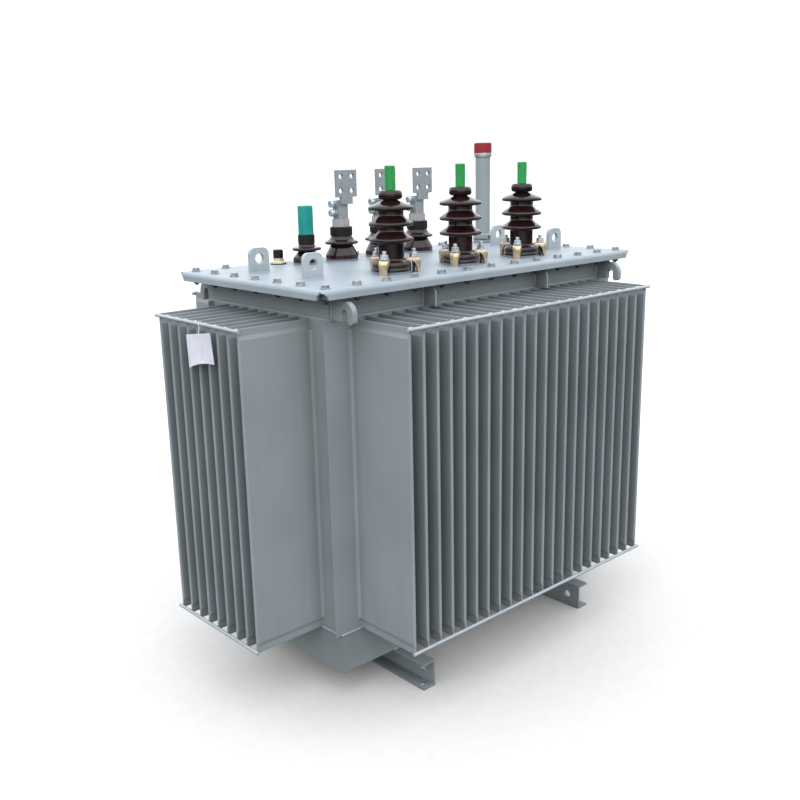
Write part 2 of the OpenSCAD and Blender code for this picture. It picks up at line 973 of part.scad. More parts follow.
// Clamp terminal: block on the stud, flag plate with four holes on its face
module lv_terminal() {
  color("silver")
  difference() {
    union() {
      translate([-block_w / 2, -block_d / 2, block_z])
        cube([block_w, block_d, block_h]);
      translate([0, -block_d / 2 + cut, 0])
        rotate([90, 0, 0])
        linear_extrude(flag_t + cut) {
          translate([flag_shift - tongue_w / 2, block_z + block_h - tongue_lap])
            square([tongue_w, tongue_lap + tongue_h + cut]);
          translate([flag_shift - flag_w / 2, flag_z])
            square([flag_w, flag_h]);
        }
    }
    for (sx = [-1, 1])
      for (sz = [-1, 1])
        translate([flag_shift + sx * flag_pitch / 2, cut, flag_mid + sz * flag_pitch / 2])
          rotate([90, 0, 0])
          cylinder(d = flag_hole, h = block_d + flag_t);
  }
}

module lv_terminal_1() {
  lv_place(1) lv_terminal();
}

module lv_terminal_2() {
  lv_place(2) lv_terminal();
}

module lv_terminal_3() {
  lv_place(3) lv_terminal();
}

module neutral_bushing() {
  translate([neutral_x, lv_y, lid_z1])
    stub_porcelain(neutral_foot_d, neutral_shed_d, neutral_body_d,
      neutral_shed_z, neutral_top_z);
}

module neutral_collar() {
  color("black")
  translate([neutral_x, lv_y, lid_z1])
    cap(neutral_collar_d, neutral_top_z, neutral_collar_h, edge_r);
}

module neutral_cap() {
  color("darkcyan")
  translate([neutral_x, lv_y, lid_z1])
    cap(neutral_cap_d, neutral_top_z + neutral_collar_h, neutral_cap_h, rim_r);
}

// Filler pipe: foot collar, pipe and the bright ring at its top
module filler_pipe() {
  color("lightgray")
  translate([pipe_x, pipe_y, lid_z1])
  union() {
    cap(pipe_foot_d, 0, pipe_foot_h, round_r);
    cylinder(d = pipe_d, h = pipe_h);
    translate([0, 0, pipe_h - cut])
      cylinder(d = pipe_cap_d - 2 * ring_step, h = pipe_ring_h + cut);
  }
}

module filler_cap() {
  color("firebrick")
  translate([pipe_x, pipe_y, lid_z1])
    cap(pipe_cap_d, pipe_h + pipe_ring_h, pipe_cap_h, round_r);
}

module vent_plug() {
  color("khaki")
  translate([-plug_x, plug_y, lid_z1])
  union() {
    cap(plug_foot_d, 0, plug_foot_h / 2, edge_r);
    cylinder(d = plug_cap_d + 2 * plug_step, h = plug_foot_h);
  }
}

module vent_cap() {
  color("black")
  translate([-plug_x, plug_y, lid_z1])
    cap(plug_cap_d, plug_foot_h, plug_cap_h, rim_r);
}

base_pan();
left_skid();
right_skid();
front_fin_wall();
back_fin_wall();
left_fin_wall();
right_fin_wall();
front_tie_rods();
back_tie_rods();
left_tie_rods();
right_tie_rods();
tank_rim();
rim_flange();
rim_gussets();
front_hooks();
back_hooks();
lid_gasket();
lid();
lug_back_left();
lug_front_left();
lug_front_right();
lug_back_right();
hv_gaskets();
hv_bushing_1();
hv_bushing_2();
hv_bushing_3();
hv_clamps();
hv_caps();
lv_gaskets();
lv_bushing_1();
lv_bushing_2();
lv_bushing_3();
lv_collars();
lv_nuts();
lv_terminal_1();
lv_terminal_2();
lv_terminal_3();
neutral_bushing();
neutral_collar();
neutral_cap();
filler_pipe();
filler_cap();
vent_plug();
vent_cap();
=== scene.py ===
# %% [markdown]
# # A sealed oil transformer, dressed around its CAD frame
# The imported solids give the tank, the folded fin walls, the lid and the bushings
# their true sizes. This lesson adds what a maker would see next: enamel, glaze and
# plating, then the bolts, welds and the hanging tag that hold the thing together.

# %% Load the frame
import json
import math
import random

import bmesh
import bpy
from mathutils import Matrix, Vector


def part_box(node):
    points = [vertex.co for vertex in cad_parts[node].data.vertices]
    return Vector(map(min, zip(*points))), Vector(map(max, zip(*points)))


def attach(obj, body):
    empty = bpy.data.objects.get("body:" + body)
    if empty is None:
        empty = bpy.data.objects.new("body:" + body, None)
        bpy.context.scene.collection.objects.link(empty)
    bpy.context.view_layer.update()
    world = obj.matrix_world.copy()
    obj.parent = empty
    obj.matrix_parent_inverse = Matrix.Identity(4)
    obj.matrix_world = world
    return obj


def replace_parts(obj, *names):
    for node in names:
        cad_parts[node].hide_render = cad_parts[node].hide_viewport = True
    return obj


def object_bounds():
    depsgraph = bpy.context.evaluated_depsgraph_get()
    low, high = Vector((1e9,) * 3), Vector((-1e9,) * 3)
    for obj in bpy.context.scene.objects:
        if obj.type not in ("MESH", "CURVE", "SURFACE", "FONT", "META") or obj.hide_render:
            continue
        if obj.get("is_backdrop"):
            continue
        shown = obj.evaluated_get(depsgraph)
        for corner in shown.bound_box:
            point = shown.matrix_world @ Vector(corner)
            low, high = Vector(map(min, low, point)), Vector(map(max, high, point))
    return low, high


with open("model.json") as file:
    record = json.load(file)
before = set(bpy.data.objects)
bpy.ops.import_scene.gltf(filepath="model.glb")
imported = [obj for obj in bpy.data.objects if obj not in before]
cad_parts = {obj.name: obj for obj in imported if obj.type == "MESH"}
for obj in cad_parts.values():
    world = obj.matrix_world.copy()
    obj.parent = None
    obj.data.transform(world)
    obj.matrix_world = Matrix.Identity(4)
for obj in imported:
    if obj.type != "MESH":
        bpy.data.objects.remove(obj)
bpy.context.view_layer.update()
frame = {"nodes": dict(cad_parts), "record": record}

MM = 0.001

# %% [markdown]
# ## The camera
# The camera could be moved about until the picture looks right. Here it was solved
# from edges of the tank that show in the photograph, so its place, its small roll
# and its lens are plain numbers. The picture is square, so the lens follows from the
# focal length in pixels.

# %% Camera
PHOTO_SIDE = 800
FOCAL_PX = 946.7
EYE = Vector((-2.1359, -2.2443, 1.5435))
AZIMUTH, ELEVATION, ROLL = (math.radians(a) for a in (-42.298, 14.351, -1.194))

toward_eye = Vector((
    math.sin(AZIMUTH) * math.cos(ELEVATION),
    -math.cos(AZIMUTH) * math.cos(ELEVATION),
    math.sin(ELEVATION),
))
level = Vector((0, 0, 1)).cross(toward_eye).normalized()
upright = toward_eye.cross(level)
across = level * math.cos(ROLL) + upright * math.sin(ROLL)
above = upright * math.cos(ROLL) - level * math.sin(ROLL)

lens = bpy.data.cameras.new("photo_camera")
lens.sensor_width = 36.0
lens.lens = FOCAL_PX / PHOTO_SIDE * lens.sensor_width
camera = bpy.data.objects.new("photo_camera", lens)
aim = Matrix((across, above, toward_eye)).transposed().to_4x4()
camera.matrix_world = Matrix.Translation(EYE) @ aim
bpy.context.scene.collection.objects.link(camera)
bpy.context.scene.camera = camera
print("camera: lens", round(lens.lens, 1), "mm")

# %% [markdown]
# ## Helpers for nodes
# Every finish below is a small tree of nodes. One function turns a hex colour, as a
# paint chart gives it, into the linear numbers that a shader wants. One function adds
# a node, sets it up and links it, so that a finish reads as a list of its layers.

# %% Colour and node helpers
def hex_colour(code):
    """sRGB hex to linear RGBA."""
    parts = [int(code[i:i + 2], 16) / 255 for i in (1, 3, 5)]
    return [c / 12.92 if c <= 0.04045 else ((c + 0.055) / 1.055) ** 2.4 for c in parts] + [1.0]


def plug(tree, node, links):
    """Fills sockets of a node, by name or number, with values or links."""
    for socket, source in links.items():
        if isinstance(source, bpy.types.NodeSocket):
            tree.links.new(source, node.inputs[socket])
        else:
            node.inputs[socket].default_value = source


def add(tree, kind, links=None, stops=None, **settings):
    """Adds one shader node with its settings, its ramp stops and its links."""
    node = tree.nodes.new("ShaderNode" + kind)
    for name, value in settings.items():
        setattr(node, name, value)
    for i, (place, code) in enumerate(stops or []):
        ramp = node.color_ramp.elements
        stop = ramp[i] if i < 2 else ramp.new(place)
        stop.position = place
        stop.color = hex_colour(code)
    plug(tree, node, links or {})
    return node


def per(size_mm):
    """Texture scale that gives features of this size, in a frame of metres."""
    return 1.0 / (size_mm * MM)


def finish(name):
    """A new material with its tree, its surface shader and the frame's own coordinates."""
    material = bpy.data.materials.new(name)
    material.use_nodes = True
    tree = material.node_tree
    surface = tree.nodes["Principled BSDF"]
    return material, tree, surface, add(tree, "TexCoord").outputs["Object"]


print("white is", hex_colour("#ffffff"))

# %% [markdown]
# Most layers are one of six kinds: clouds, colours along a ramp, a value moved to another
# range, one colour over another, rounded edges and a fine bump. Each has its own name, so
# that a recipe says what it does and not which node does it.

# %% Layers
def noise(tree, coords, scale, detail):
    """Soft random clouds, from 0 to 1."""
    links = {"Vector": coords, "Scale": scale, "Detail": detail}
    return add(tree, "TexNoise", links).outputs["Fac"]


def tones(tree, value, stops):
    """Colours along a ramp."""
    return add(tree, "ValToRGB", {"Fac": value}, stops=stops).outputs["Color"]


def ranged(tree, value, start, end, low=0.0, high=1.0, shape="LINEAR"):
    """Runs from low to high while the value runs from start to end."""
    links = {"Value": value, "From Min": start, "From Max": end, "To Min": low, "To Max": high}
    return add(tree, "MapRange", links, interpolation_type=shape).outputs["Result"]


def over(tree, share, under, code):
    """A hex colour laid over another layer by a share from 0 to 1."""
    links = {0: share, 6: under, 7: hex_colour(code)}
    return add(tree, "Mix", links, data_type="RGBA").outputs[2]


def rounded(tree, radius_mm):
    """The normal of a surface whose edges are rounded by this radius."""
    return add(tree, "Bevel", {"Radius": radius_mm * MM}, samples=4).outputs["Normal"]


def bumped(tree, height, strength, deep_mm, normal):
    """A fine relief on top of another normal."""
    links = {"Height": height, "Strength": strength, "Distance": deep_mm * MM, "Normal": normal}
    return add(tree, "Bump", links).outputs["Normal"]


print("one cloud of 5 mm has scale", per(5))

# %% [markdown]
# ## Floor and light
# The photograph was taken under an overcast sky: the lid is about twice as bright as
# the walls, and no shadow has an edge. A ring of lamps could imitate that. A sky that
# grows brighter towards the zenith does it with one ramp of colours. Round the horizon
# an uneven dark band stands for the yard, or glaze and plating would mirror nothing and
# look like plastic.

# %% Sky
ZENITH, DIM = 2.25, 0.4
YARD_PATCHES, YARD_RISE = 2.6, 0.45

scene = bpy.context.scene
scene.view_settings.view_transform = "Standard"
world = bpy.data.worlds.new("overcast_sky")
scene.world = world
world.use_nodes = True
sky = world.node_tree
gaze = add(sky, "TexCoord").outputs["Generated"]
height = add(sky, "SeparateXYZ", {0: gaze}).outputs["Z"]
cloud = tones(sky, height, [(0.0, "#4c4e4d"), (0.26, "#f0f3f4"), (1.0, "#f1f7ff")])
yard = noise(sky, gaze, YARD_PATCHES, 3.0)
clear = add(sky, "Math", {0: yard, 1: -YARD_RISE, 2: height}, operation="MULTIPLY_ADD").outputs[0]
band = ranged(sky, clear, -0.06, 0.07, DIM * ZENITH, ZENITH, "SMOOTHSTEP")
plug(sky, sky.nodes["Background"], {"Color": cloud, "Strength": band})
print("sky: strength", ZENITH, "at the zenith and", DIM * ZENITH, "over the yard")

# %% [markdown]
# A low ring of glow, strongest behind the tank, makes the white sheet of the picture. It
# stops just under the horizon, because the bushings mirror the ground and must stay dark.
# A paler patch of cloud high behind the camera lights the near walls.

# %% Glow
GLOW, NEAR_GLOW = 1.0, 0.75
FAR_SIDE = Vector((0.67, 0.74, 0.0))
NEAR_SIDE = Vector((-0.55, -0.65, 0.52))


def toward(direction):
    """How far the gaze points to one side, from -1 to 1."""
    links = {0: gaze, 1: direction}
    return add(sky, "VectorMath", links, operation="DOT_PRODUCT").outputs["Value"]


def joined(operation, first, second):
    """Two strengths of light multiplied or added."""
    return add(sky, "Math", {0: first, 1: second}, operation=operation).outputs[0]


far = ranged(sky, toward(FAR_SIDE), 0.0, 0.7, DIM * GLOW, GLOW, "SMOOTHSTEP")
below_top = ranged(sky, height, 0.24, 0.16, shape="SMOOTHSTEP")
above_foot = ranged(sky, height, -0.07, -0.03)
sheet = joined("MULTIPLY", joined("MULTIPLY", above_foot, below_top), far)
front = ranged(sky, toward(NEAR_SIDE), 0.3, 0.95, high=NEAR_GLOW, shape="SMOOTHSTEP")
patches = joined("ADD", sheet, front)
white = add(sky, "Background", {"Color": hex_colour("#ffffff"), "Strength": patches})
both = add(sky, "AddShader", {0: sky.nodes["Background"].outputs[0], 1: white.outputs[0]})
plug(sky, sky.nodes["World Output"], {"Surface": both.outputs[0]})
print("glow: far", GLOW, "near", NEAR_GLOW)

# %% [markdown]
# The floor is one large sheet of matt board. In open sky it comes out just white, so no
# line shows where it meets the glow. It is kept out of the bounced light: a real yard is
# far darker than the white sheet of a picture, and would not light the fins from below.

# %% Floor
FLOOR_HALF = 60.0

board, tree, surface, coords = finish("pale_matt_board")
grain = noise(tree, coords, per(40), 4.0)
tone = tones(tree, grain, [(0.3, "#c7c4c2"), (0.7, "#cbc8c6")])
plug(tree, surface, {"Base Color": tone, "Roughness": 0.9, "Specular IOR Level": 0.2})

mesh = bpy.data.meshes.new("floor")
corners = [(x * FLOOR_HALF, y * FLOOR_HALF, 0) for x, y in ((-1, -1), (1, -1), (1, 1), (-1, 1))]
mesh.from_pydata(corners, [], [(0, 1, 2, 3)])
mesh.materials.append(board)
floor = bpy.data.objects.new("floor", mesh)
scene.collection.objects.link(floor)
floor.visible_diffuse = False
floor.visible_glossy = False
floor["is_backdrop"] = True
print("floor:", 2 * FLOOR_HALF, "m square")

# %% [markdown]
# ## Grey enamel
# Tank, fins, lid and skids are mild steel under sprayed alkyd enamel. Sprayed enamel
# dries to a skin with a faint orange peel, and its gloss drifts a little from place to
# place. Its colour also carries painted light. Sharp edges are paled, partly as paint
# pulled thin and partly as painted highlight. Folds and spots under ledges are darkened
# as painted shade, where a node that measures how much a spot is shut in finds them. The
# peel is some 2 mm wide on the real paint. It is drawn 5 mm wide here, so that it shows
# at all. One function gives all the coats: the usual one, a darker one as painted shade
# on the rim band, the pan and its seams, a matt, lighter and bluer one as painted light on
# the lid, one with deeper painted shade on the skids, a lighter one as painted light on the
# lugs, and a lighter one as painted highlight on rods, welds and tacks.

# %% Grey enamel
FOLD_REACH = 80 * MM
DUST, PAINTED_SHADE = "#797f80", "#3b4346"


def enamel(name, dark, light, edge_highlight_and_thin_paint, edge_highlight_and_thin_paint_share, shine=0.35, shade_share=0.5):
    """Sprayed paint: two tones, runs of dust, painted shade in folds, edges paled as thin paint and
    painted highlight, orange peel.
    """
    material, tree, surface, coords = finish(name)
    cloud = noise(tree, coords, per(240), 4.0)
    tone = tones(tree, cloud, [(0.32, dark), (0.68, light)])
    upright_runs = {"Vector": coords, "Scale": (per(28), per(28), per(900))}
    run = noise(tree, add(tree, "Mapping", upright_runs).outputs["Vector"], 1.0, 2.0)
    dusty = over(tree, ranged(tree, run, 0.5, 0.75, high=0.2), tone, DUST)
    # Painted shade: where the occlusion node finds a spot shut in, the colour is darkened.
    open_sky = add(tree, "AmbientOcclusion", {"Distance": FOLD_REACH}, samples=6).outputs["AO"]
    with_painted_shade = over(tree, ranged(tree, open_sky, 0.7, 0.15, high=shade_share), dusty, PAINTED_SHADE)
    # Edges are paled where the rounded normal turns from the true one: partly thin paint, partly
    # painted highlight.
    soft = rounded(tree, 1.8)
    true = add(tree, "NewGeometry").outputs["Normal"]
    turn = add(tree, "VectorMath", {0: soft, 1: true}, operation="DOT_PRODUCT").outputs["Value"]
    with_edge_highlight_and_thin_paint = over(tree, ranged(tree, turn, 0.995, 0.80, high=edge_highlight_and_thin_paint_share), with_painted_shade, edge_highlight_and_thin_paint)
    skin = bumped(tree, noise(tree, coords, per(5), 1.0), 0.35, 0.12, soft)
    gloss = ranged(tree, cloud, 0.0, 1.0, 0.34, 0.48)
    plug(tree, surface, {"Base Color": with_edge_highlight_and_thin_paint, "Roughness": gloss, "Normal": skin,
                         "IOR": 1.45, "Specular IOR Level": shine})
    print("made", name)
    return material


ENAMEL = enamel("sprayed_grey_enamel_on_steel", "#81888b", "#899093", "#adb4b7", 0.5)
# Painted shade: a darker copy of the enamel with fainter pale edges, for the rim band, the pan and
# its seams.
SHADED_ENAMEL = enamel("grey_enamel_painted_darker_as_shade", "#7b8285", "#838a8d", "#8c9396", 0.3)
# Painted light: a lighter, bluer copy of the enamel for the lid and its lip, with less shine.
LID_ENAMEL = enamel("matt_grey_enamel_painted_lighter_and_bluer_as_light", "#8a939a", "#929ba2", "#b4bcc2", 0.5,
                    shine=0.18)
# Painted shade: on the skids the darkening in shut-in spots runs at full strength.
SKID_SHADE_ENAMEL = enamel("grey_enamel_with_deep_painted_shade", "#7d8488", "#858c90", "#969da1", 0.4,
                     shade_share=1.0)
# Painted light: a lighter copy of the enamel for the four lugs.
LUG_LIT_ENAMEL = enamel("grey_enamel_painted_lighter_as_light", "#98a1a6", "#a1aaaf", "#bcc4c9", 0.5)
# Painted highlight: a lighter copy of the enamel for the tie rods, weld beads and tacks.
HIGHLIGHT_ENAMEL = enamel("grey_enamel_painted_lighter_as_highlight_on_rods_and_welds", "#939a9f", "#a1a8ad", "#bfc6cb", 0.5)

# %% [markdown]
# ## Brown glazed porcelain
# The bushings are turned porcelain under a dark brown feldspar glaze, fired until it
# runs. A glaze is glass, so it is all in the gloss: nearly black, with sharp lights of
# the sky, and redder where it ran thin over the sheds.

# %% Porcelain
PORCELAIN, tree, surface, coords = finish("brown_glazed_porcelain")
pool = noise(tree, coords, per(45), 3.0)
glaze = tones(tree, pool, [(0.35, "#180c0d"), (0.62, "#251314"), (0.8, "#331a18")])
wave = bumped(tree, noise(tree, coords, per(22), 1.0), 0.25, 0.6, rounded(tree, 2.0))
sheen = ranged(tree, pool, 0.0, 1.0, 0.06, 0.15)
plug(tree, surface, {"Base Color": glaze, "Roughness": sheen, "Normal": wave, "IOR": 1.48,
                     "Specular IOR Level": 0.4})
print("made", PORCELAIN.name)

# %% [markdown]
# ## Plated steel, tin and brass
# Fasteners and clamps are plated. Plating is a skin of metal a few hundredths of a
# millimetre thick: it keeps the steel's shape and dulls in clouds. Yellow passivate
# drifts from straw to pink and green over a few millimetres, as oil does on water.
# One function makes them all, since only the colours and the dullness differ.

# %% Plated metals
def plated(name, stops, cloud_mm, roughness, metallic=1.0, pit_mm=1.2):
    """Metal skin: colour in clouds, uneven gloss, fine pits."""
    material, tree, surface, coords = finish(name)
    cloud = noise(tree, coords, per(cloud_mm), 4.0)
    tone = tones(tree, cloud, stops)
    skin = bumped(tree, noise(tree, coords, per(pit_mm), 2.0), 0.3, 0.08, rounded(tree, 0.6))
    gloss = ranged(tree, cloud, 0.0, 1.0, roughness - 0.1, roughness + 0.1)
    plug(tree, surface, {"Base Color": tone, "Roughness": gloss, "Normal": skin,
                         "Metallic": metallic})
    print("made", name)
    return material


YELLOW_ZINC = plated("yellow_passivated_zinc_on_steel",
                     [(0.34, "#a2977a"), (0.48, "#c2b291"), (0.58, "#bda68f"), (0.7, "#9d987b")],
                     22, 0.34, metallic=0.8)
ZINC = plated("dulled_zinc_on_steel", [(0.35, "#83888d"), (0.65, "#a4a9ae")], 7, 0.42,
              metallic=0.7)
# Painted shade: zinc darkened for the nuts under the rim flange and the stud shafts under the
# claws.
SHADED_ZINC = plated("zinc_painted_dark_as_shade", [(0.35, "#3a3d3f"), (0.65, "#565a5c")], 7, 0.5,
                   metallic=0.5)
BRIGHT_ZINC = plated("bright_zinc_on_steel", [(0.35, "#a9b0b8"), (0.65, "#ccd3da")], 7, 0.36,
                     metallic=0.7)
TIN = plated("dull_tinned_copper", [(0.35, "#838a8e"), (0.65, "#8e9599")], 14, 0.55, metallic=0.3)
NUT_GREY = plated("cast_nut_gone_dull", [(0.35, "#8f8b8d"), (0.65, "#a9a5a4")], 5, 0.6,
                  metallic=0.3, pit_mm=3.0)
BRASS = plated("cast_brass_under_lacquer", [(0.3, "#b5ad8c"), (0.7, "#d2cdb4")], 12, 0.45,
               metallic=0.3)

# %% [markdown]
# ## Caps, rubber and card
# The coloured caps are moulded polyethylene, which lets a little light into its skin
# and is never quite even in colour. The collars are moulded black rubber, the seals
# are grey cork and rubber sheet, and the tag is coated white card.

# %% Moulded and sheet materials
def moulded(name, dark, light, cloud_mm, roughness, grain_mm, glow=0.0, bump=0.3):
    """Moulded or pressed stuff: two close tones, even gloss and a fine grain."""
    material, tree, surface, coords = finish(name)
    cloud = noise(tree, coords, per(cloud_mm), 3.0)
    tone = tones(tree, cloud, [(0.3, dark), (0.7, light)])
    skin = bumped(tree, noise(tree, coords, per(grain_mm), 2.0), bump, 0.15, rounded(tree, 1.0))
    gloss = ranged(tree, cloud, 0.0, 1.0, roughness - 0.08, roughness + 0.08)
    plug(tree, surface, {"Base Color": tone, "Roughness": gloss, "Normal": skin,
                         "Specular IOR Level": 0.25,
                         "Subsurface Weight": glow, "Subsurface Scale": 4 * MM})
    print("made", name)
    return material


GREEN = moulded("moulded_green_polyethylene", "#248340", "#2f944a", 30, 0.42, 2.0, glow=0.15)
TEAL = moulded("moulded_teal_polyethylene", "#187c75", "#1f8981", 35, 0.40, 2.0, glow=0.15)
RED = moulded("moulded_red_polyethylene", "#7d1a25", "#8b222d", 25, 0.45, 2.0)
RUBBER = moulded("moulded_black_rubber", "#0c0b0b", "#151312", 12, 0.6, 1.5, bump=0.5)
GASKET = moulded("cork_and_rubber_sheet", "#646e77", "#78828b", 4, 0.75, 2.5, bump=0.8)
CARD = moulded("coated_white_card", "#c6c4d0", "#d2d0db", 20, 0.55, 1.0)

# %% [markdown]
# ## Finishes on the solids
# The record names a slot for each node, so one table from slot to finish dresses all
# the solids. A second table names the nodes that wear a coat of their own.

# %% Dress the nodes
FINISHES = {
    "grey_paint": ENAMEL, "brown_porcelain": PORCELAIN, "grey_gasket": GASKET,
    "yellow_zinc_steel": YELLOW_ZINC, "tinned_metal": TIN,
    "green_cap": GREEN, "teal_cap": TEAL, "red_cap": RED, "black_rubber": RUBBER,
    "brass_fitting": BRASS,
}
LUGS = ("lug_back_left", "lug_front_left", "lug_front_right", "lug_back_right")
# Most of these coats are copies of the enamel: painted light on the lid and lugs, painted highlight
# on the rods, painted shade on the rim band, pan and skids.
SPECIAL = {
    "lv_nuts": NUT_GREY, "tank_rim": SHADED_ENAMEL, "base_pan": SHADED_ENAMEL, "lid": LID_ENAMEL,
    "left_skid": SKID_SHADE_ENAMEL, "right_skid": SKID_SHADE_ENAMEL,
    "front_tie_rods": HIGHLIGHT_ENAMEL, "back_tie_rods": HIGHLIGHT_ENAMEL, "left_tie_rods": HIGHLIGHT_ENAMEL, "right_tie_rods": HIGHLIGHT_ENAMEL,
    **{lug: LUG_LIT_ENAMEL for lug in LUGS},
}
for part in frame["record"]["subparts"]:
    solid = frame["nodes"][part["node"]]
    solid.data.materials.clear()
    solid.data.materials.append(SPECIAL.get(part["node"], FINISHES[part["material_slot"]]))

# %% [markdown]
# ## Tools for small metal pieces
# Bolts, nuts, washers and threads are all turned or drawn from bar, so one function
# spins a profile about an axis, and cuts flats on it where it is given a spanner size.
# A hexagon comes out with the true curved chamfer, because the flats and the cone meet
# as they do on the lathe. A second function sweeps a round section along a path, which
# makes a weld bead or a string. Both skin a row of rings and close the two ends.

# %% Spin and sweep
SIXTH = math.pi / 3


def skinned(bm, rings):
    """Joins rings of vertices one to the next, and closes the first and the last."""
    for low, high in zip(rings, rings[1:]):
        for k in range(len(low)):
            nxt = (k + 1) % len(low)
            bm.faces.new((low[k], low[nxt], high[nxt], high[k]))
    bm.faces.new(rings[0][::-1])
    bm.faces.new(rings[-1])


def turned(bm, profile, place, sides=24, flats=None):
    """Spins (radius, height) rows about local Z; flats is a size across the flats."""
    rings = []
    for radius, z in profile:
        ring = []
        for k in range(sides):
            angle = 2 * math.pi * k / sides
            reach = radius
            if flats:
                off = (angle + SIXTH / 2) % SIXTH - SIXTH / 2
                reach = min(radius, flats / 2 / math.cos(off))
            spot = Vector((reach * math.cos(angle), reach * math.sin(angle), z))
            ring.append(bm.verts.new(place @ spot))
        rings.append(ring)
    skinned(bm, rings)


def sweep(bm, points, radii, sides=8):
    """Round section along a path of points, with a radius at each."""
    heading = (points[1] - points[0]).normalized()
    side = heading.orthogonal().normalized()
    rings = []
    for i, (point, radius) in enumerate(zip(points, radii)):
        ahead = points[min(i + 1, len(points) - 1)] - points[max(i - 1, 0)]
        ahead.normalize()
        side = (side - ahead * side.dot(ahead)).normalized()
        other = ahead.cross(side)
        rings.append([
            bm.verts.new(point + (side * math.cos(a) + other * math.sin(a)) * radius)
            for a in (2 * math.pi * k / sides for k in range(sides))
        ])
    skinned(bm, rings)


print("a spun ring of 24 has a corner each", 360 / 24, "degrees")

# %% [markdown]
# A finished mesh becomes a piece: it gets its name and its finish, and rides on
# the tank. Edges sharper than a given angle stay sharp, the rest is shaded smooth.

# %% Piece tool
def piece(name, bm, material, sharp=40):
    """Turns a bmesh into a named piece that rides on the tank."""
    mesh = bpy.data.meshes.new(name)
    bmesh.ops.recalc_face_normals(bm, faces=bm.faces)
    bm.to_mesh(mesh)
    bm.free()
    mesh.materials.append(material)
    made = bpy.data.objects.new(name, mesh)
    scene.collection.objects.link(made)
    mesh.shade_smooth()
    mesh.set_sharp_from_angle(angle=math.radians(sharp))
    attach(made, "root")
    print(name, len(mesh.polygons), "faces")
    return made


def in_mm(rows):
    """Rows of a profile from millimetres to the frame's metres."""
    return [(radius * MM, z * MM) for radius, z in rows]


def centre(node):
    """Middle of a node's box, seen from above."""
    low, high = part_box(node)
    return (low.x + high.x) / 2, (low.y + high.y) / 2


print("the lid's middle is", centre("lid"))

# %% [markdown]
# ## Profiles of the fasteners
# Sizes follow the metric tables: spanner size, head height and washer size go with the
# thread. The thread itself is drawn as rings, since a true helix would show no more.

# %% Fastener profiles
ROLLED_EDGE = 0.4 * MM
CROWN, SHOULDER = 0.475, 0.52  # radii of a hexagon's chamfer, as shares of its flats
THREAD_DEEP = 0.54  # depth of a thread, as a share of its pitch


def washer(size, thick, z):
    """Rows of a stamped washer with its rolled edges."""
    edge, inside = size / 2, size / 2 - ROLLED_EDGE
    return [(inside, z), (edge, z + ROLLED_EDGE),
            (edge, z + thick - ROLLED_EDGE), (inside, z + thick)]


def hexagon(flats, tall, z):
    """Rows of a chamfered hexagon: the cone is wider than the flats at the foot."""
    corner = flats / 2 / math.cos(SIXTH / 2)
    drop = (corner - CROWN * flats) * math.tan(SIXTH / 2)
    return [(corner, z), (corner, z + tall - drop), (SHOULDER * flats, z + tall - drop / 2),
            (CROWN * flats, z + tall)]


def thread(size, pitch, z0, z1):
    """Rows of a thread drawn as rings, with a chamfered end."""
    crest, root = size / 2, size / 2 - THREAD_DEEP * pitch
    rows = []
    z = z0
    while z + pitch < z1 - pitch:
        rows += [(root, z), (crest, z + pitch / 2)]
        z += pitch
    return rows + [(root, z), (crest, z + pitch / 2), (crest - pitch, z1)]


print("an M12 nut has", len(hexagon(18 * MM, 10 * MM, 0)), "rows")

# %% [markdown]
# ## Cover bolts
# The lid is held by thirty-six bolts all round, a hand's width apart. Each has a head and a
# washer on the lid, and a washer, a nut and a stub of thread under the rim flange,
# where the lip of the lid half hides them. They are drawn as two meshes, because nobody
# picks up a single one, and each hexagon is left at its own angle by the spanner.

# %% Cover bolts
lid_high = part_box("lid")[1]
lid_top = lid_high.z
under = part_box("rim_flange")[0].z
BOLT_IN_X, BOLT_IN_Y = 40 * MM, 33 * MM
LONG_STEPS, SHORT_STEPS = 12, 6
BOLT_WASHER, BOLT_FLATS, BOLT_HEAD = 28 * MM, 21 * MM, 8.5 * MM
NUT_WASHER, NUT_FLATS, NUT_TALL = 26 * MM, 19 * MM, 8 * MM
BOLT_THREAD, BOLT_PITCH, BOLT_END = 12 * MM, 1.75 * MM, 15 * MM
WASHER_THICK = 2.5 * MM
ON_NUT = WASHER_THICK + NUT_TALL
bolt_x, bolt_y = lid_high.x - BOLT_IN_X, lid_high.y - BOLT_IN_Y

spots = [(-bolt_x + 2 * bolt_x * i / LONG_STEPS, s * bolt_y)
         for i in range(LONG_STEPS + 1) for s in (-1, 1)]
spots += [(s * bolt_x, -bolt_y + 2 * bolt_y * j / SHORT_STEPS)
          for j in range(1, SHORT_STEPS) for s in (-1, 1)]
dice = random.Random(11)
bm, nuts = bmesh.new(), bmesh.new()
for x, y in spots:
    spin = Matrix.Rotation(dice.uniform(0, SIXTH), 4, "Z")
    on_lid = Matrix.Translation((x, y, lid_top)) @ spin
    below = Matrix.Translation((x, y, under)) @ Matrix.Rotation(math.pi, 4, "X") @ spin
    turned(bm, washer(BOLT_WASHER, WASHER_THICK, 0), on_lid)
    turned(bm, hexagon(BOLT_FLATS, BOLT_HEAD, WASHER_THICK), on_lid, flats=BOLT_FLATS)
    turned(nuts, washer(NUT_WASHER, WASHER_THICK, 0), below)
    turned(nuts, hexagon(NUT_FLATS, NUT_TALL, WASHER_THICK), below, flats=NUT_FLATS)
    turned(nuts, thread(BOLT_THREAD, BOLT_PITCH, ON_NUT, BOLT_END), below, sides=16)
piece("cover_bolts", bm, ZINC)
piece("cover_nuts", nuts, SHADED_ZINC)

